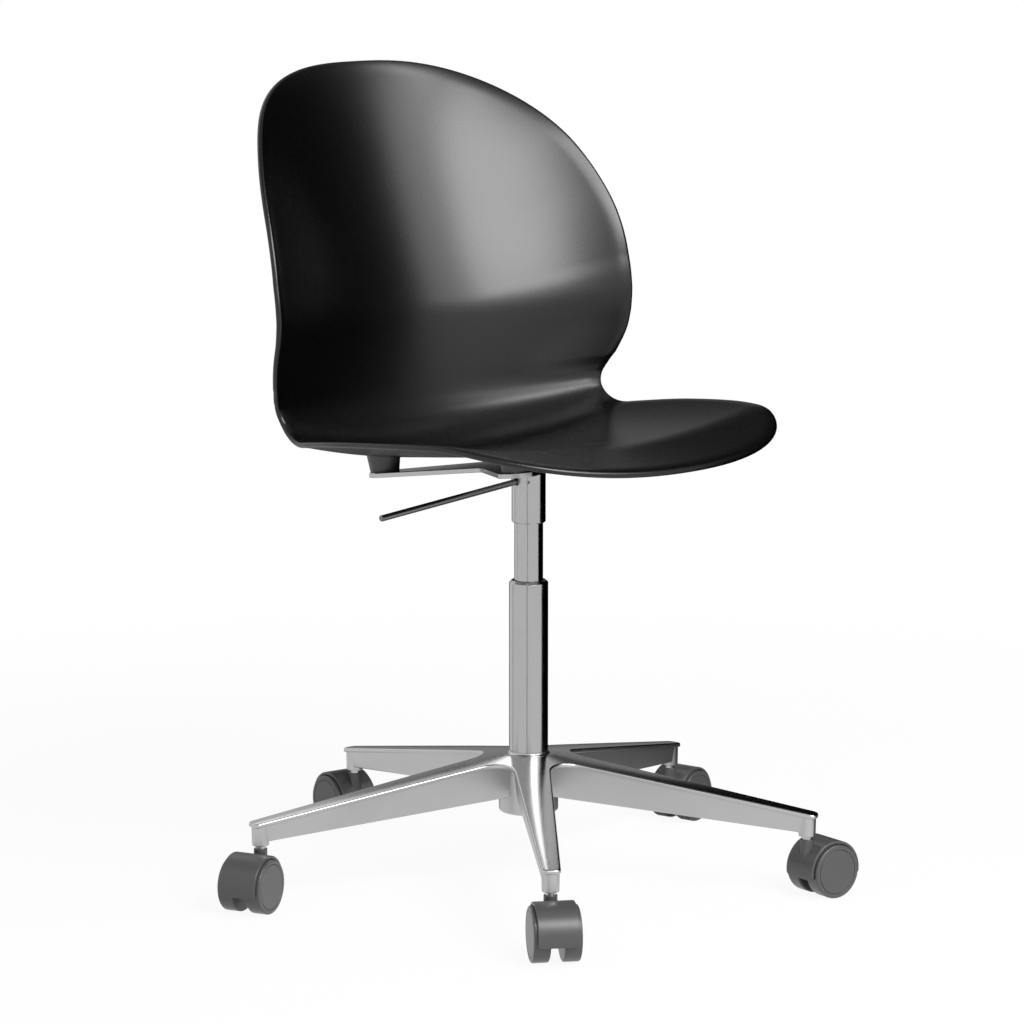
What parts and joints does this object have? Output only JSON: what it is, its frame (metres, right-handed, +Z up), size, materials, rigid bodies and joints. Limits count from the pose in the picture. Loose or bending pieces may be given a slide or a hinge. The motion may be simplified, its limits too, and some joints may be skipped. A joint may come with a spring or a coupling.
{
  "type": "swivel chair",
  "caption": "Armless swivel chair: a thin moulded plastic shell on an X-shaped plate, a gas spring column and a cast star base on twin-wheel casters.",
  "frame": {"origin": "on the floor under the column's axis", "axes": "+Z up along the column, -Y the way the sitter faces, +X to the sitter's left"},
  "size_m": [0.6311, 0.603, 0.7856],
  "materials": {
    "polished_aluminium": "polished casting",
    "satin_aluminium": "satin turned tube",
    "steel": "bright steel",
    "brass": "turned",
    "chrome": "polished",
    "black_plastic": "matte",
    "rubber": "matte",
    "shell_plastic": "fine matte moulding",
    "caster_plastic": "satin moulding"
  },
  "bodies": {
    "base": {"base_star": "polished_aluminium", "column_tube": "satin_aluminium", "guide_bush": "black_plastic", "tube_floor": "steel", "bearing_lower_race": "steel", "bearing_balls": "steel", "ball_cage": "brass", "stem_grip_rings": "steel", "caster_a_stem": "steel", "caster_b_stem": "steel", "caster_c_stem": "steel", "caster_d_stem": "steel", "caster_e_stem": "steel"},
    "gas_rod": {"piston_rod": "steel", "rod_clip": "steel", "bearing_upper_race": "steel", "piston": "steel", "piston_seal": "rubber", "piston_nut": "steel"},
    "seat": {"gas_cylinder": "satin_aluminium", "cylinder_gland": "black_plastic", "sleeve": "satin_aluminium", "lever_pin": "steel", "support_plate": "polished_aluminium", "plate_screws": "steel", "boss_inserts": "brass", "seat_bosses": "shell_plastic", "shell": "shell_plastic"},
    "lever": {"lever": "chrome"},
    "button": {"release_button": "steel"},
    "caster_a": {"caster_a_hood": "caster_plastic", "caster_a_axle": "steel"},
    "wheel_a_left": {"caster_a_wheel_left": "caster_plastic"},
    "wheel_a_right": {"caster_a_wheel_right": "caster_plastic"},
    "caster_b": {"caster_b_hood": "caster_plastic", "caster_b_axle": "steel"},
    "wheel_b_left": {"caster_b_wheel_left": "caster_plastic"},
    "wheel_b_right": {"caster_b_wheel_right": "caster_plastic"},
    "caster_c": {"caster_c_hood": "caster_plastic", "caster_c_axle": "steel"},
    "wheel_c_left": {"caster_c_wheel_left": "caster_plastic"},
    "wheel_c_right": {"caster_c_wheel_right": "caster_plastic"},
    "caster_d": {"caster_d_hood": "caster_plastic", "caster_d_axle": "steel"},
    "wheel_d_left": {"caster_d_wheel_left": "caster_plastic"},
    "wheel_d_right": {"caster_d_wheel_right": "caster_plastic"},
    "caster_e": {"caster_e_hood": "caster_plastic", "caster_e_axle": "steel"},
    "wheel_e_left": {"caster_e_wheel_left": "caster_plastic"},
    "wheel_e_right": {"caster_e_wheel_right": "caster_plastic"}
  },
  "joints": [
    {"name": "seat_swivel", "type": "hinge", "parent": "base", "child": "gas_rod", "pos_m": [0, 0, 0.085], "axis": [0, 0, 1], "continuous": true},
    {"name": "seat_height", "type": "slide", "parent": "gas_rod", "child": "seat", "axis": [0, 0, 1], "range_m": [-0.052, 0.075]},
    {"name": "lever_lift", "type": "hinge", "parent": "seat", "child": "lever", "pos_m": [-0.011, 0, 0.39675], "axis": [0, 1, 0], "range_deg": [0, 7], "stiffness_Nm_per_rad": 3, "springref_deg": -3.44},
    {"name": "button_press", "type": "slide", "parent": "seat", "child": "button", "axis": [0, 0, -1], "range_m": [0, 0.0014]},
    {"name": "caster_a_swivel", "type": "hinge", "parent": "base", "child": "caster_a", "pos_m": [-0.26249, 0.08529, 0.06], "axis": [0, 0, 1], "continuous": true},
    {"name": "wheel_a_left_spin", "type": "hinge", "parent": "caster_a", "child": "wheel_a_left", "pos_m": [-0.28062, 0.07684, 0.02625], "axis": [0.4226, -0.9063, 0], "continuous": true},
    {"name": "wheel_a_right_spin", "type": "hinge", "parent": "caster_a", "child": "wheel_a_right", "pos_m": [-0.28062, 0.07684, 0.02625], "axis": [0.4226, -0.9063, 0], "continuous": true},
    {"name": "caster_b_swivel", "type": "hinge", "parent": "base", "child": "caster_b", "pos_m": [-0.16223, -0.22329, 0.06], "axis": [0, 0, 1], "continuous": true},
    {"name": "wheel_b_left_spin", "type": "hinge", "parent": "caster_b", "child": "wheel_b_left", "pos_m": [-0.17253, -0.24043, 0.02625], "axis": [0.8572, -0.515, 0], "continuous": true},
    {"name": "wheel_b_right_spin", "type": "hinge", "parent": "caster_b", "child": "wheel_b_right", "pos_m": [-0.17253, -0.24043, 0.02625], "axis": [0.8572, -0.515, 0], "continuous": true},
    {"name": "caster_c_swivel", "type": "hinge", "parent": "base", "child": "caster_c", "pos_m": [0.16223, -0.22329, 0.06], "axis": [0, 0, 1], "continuous": true},
    {"name": "wheel_c_left_spin", "type": "hinge", "parent": "caster_c", "child": "wheel_c_left", "pos_m": [0.18218, -0.22468, 0.02625], "axis": [0.0698, 0.9976, 0], "continuous": true},
    {"name": "wheel_c_right_spin", "type": "hinge", "parent": "caster_c", "child": "wheel_c_right", "pos_m": [0.18218, -0.22468, 0.02625], "axis": [0.0698, 0.9976, 0], "continuous": true},
    {"name": "caster_d_swivel", "type": "hinge", "parent": "base", "child": "caster_d", "pos_m": [0.26249, 0.08529, 0.06], "axis": [0, 0, 1], "continuous": true},
    {"name": "wheel_d_left_spin", "type": "hinge", "parent": "caster_d", "child": "wheel_d_left", "pos_m": [0.2819, 0.09013, 0.02625], "axis": [-0.2419, 0.9703, 0], "continuous": true},
    {"name": "wheel_d_right_spin", "type": "hinge", "parent": "caster_d", "child": "wheel_d_right", "pos_m": [0.2819, 0.09013, 0.02625], "axis": [-0.2419, 0.9703, 0], "continuous": true},
    {"name": "caster_e_swivel", "type": "hinge", "parent": "base", "child": "caster_e", "pos_m": [0, 0.276, 0.06], "axis": [0, 0, 1], "continuous": true},
    {"name": "wheel_e_left_spin", "type": "hinge", "parent": "caster_e", "child": "wheel_e_left", "pos_m": [0.00174, 0.29592, 0.02625], "axis": [-0.9962, 0.0872, 0], "continuous": true},
    {"name": "wheel_e_right_spin", "type": "hinge", "parent": "caster_e", "child": "wheel_e_right", "pos_m": [0.00174, 0.29592, 0.02625], "axis": [-0.9962, 0.0872, 0], "continuous": true}
  ],
  "couplings": [
    {"joint": "button_press", "follows": "lever_lift", "m_per_rad": 0.011}
  ]
}
